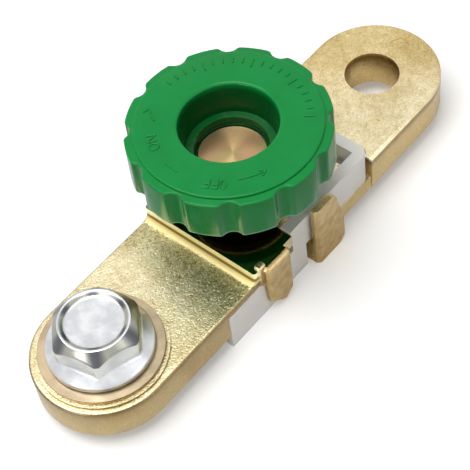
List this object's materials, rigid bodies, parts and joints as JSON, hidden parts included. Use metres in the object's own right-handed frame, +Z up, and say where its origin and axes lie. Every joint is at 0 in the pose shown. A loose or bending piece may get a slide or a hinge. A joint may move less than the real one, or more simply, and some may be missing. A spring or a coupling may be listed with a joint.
{
  "type": "battery terminal disconnect switch",
  "caption": "Side-terminal battery disconnect switch: two plated bars on a nylon insulator, closed by a green screw knob.",
  "frame": {"origin": "middle of the footprint, on the surface that the switch lies on", "axes": "+X from the terminal bolt towards the cable hole, +Z up along the knob's axis"},
  "size_m": [0.1024, 0.0356, 0.0341],
  "materials": {
    "plated_casting": "satin",
    "white_nylon": "matte",
    "turned_brass": "satin",
    "green_plastic": "gloss",
    "zinc_plated_steel": "satin"
  },
  "bodies": {
    "base": {"battery_bar": "plated_casting", "cable_bar": "plated_casting", "insulator": "white_nylon", "terminal_washer": "zinc_plated_steel"},
    "lift": {"contact_washer": "turned_brass"},
    "turn": {"stud": "turned_brass", "knob": "green_plastic"},
    "bolt": {"terminal_bolt": "zinc_plated_steel"}
  },
  "joints": [
    {"name": "knob_lift", "type": "slide", "parent": "base", "child": "lift", "axis": [0, 0, 1], "range_m": [-0.00317, 0]},
    {"name": "knob_turn", "type": "hinge", "parent": "lift", "child": "turn", "pos_m": [-0.00165, 0, 0.01738], "axis": [0, 0, 1], "range_deg": [-720, 0]},
    {"name": "bolt_spin", "type": "hinge", "parent": "base", "child": "bolt", "pos_m": [-0.03845, 0, 0.0113], "axis": [0, 0, 1], "continuous": true}
  ],
  "couplings": [
    {"joint": "knob_turn", "follows": "knob_lift", "rad_per_m": 3957.9}
  ]
}
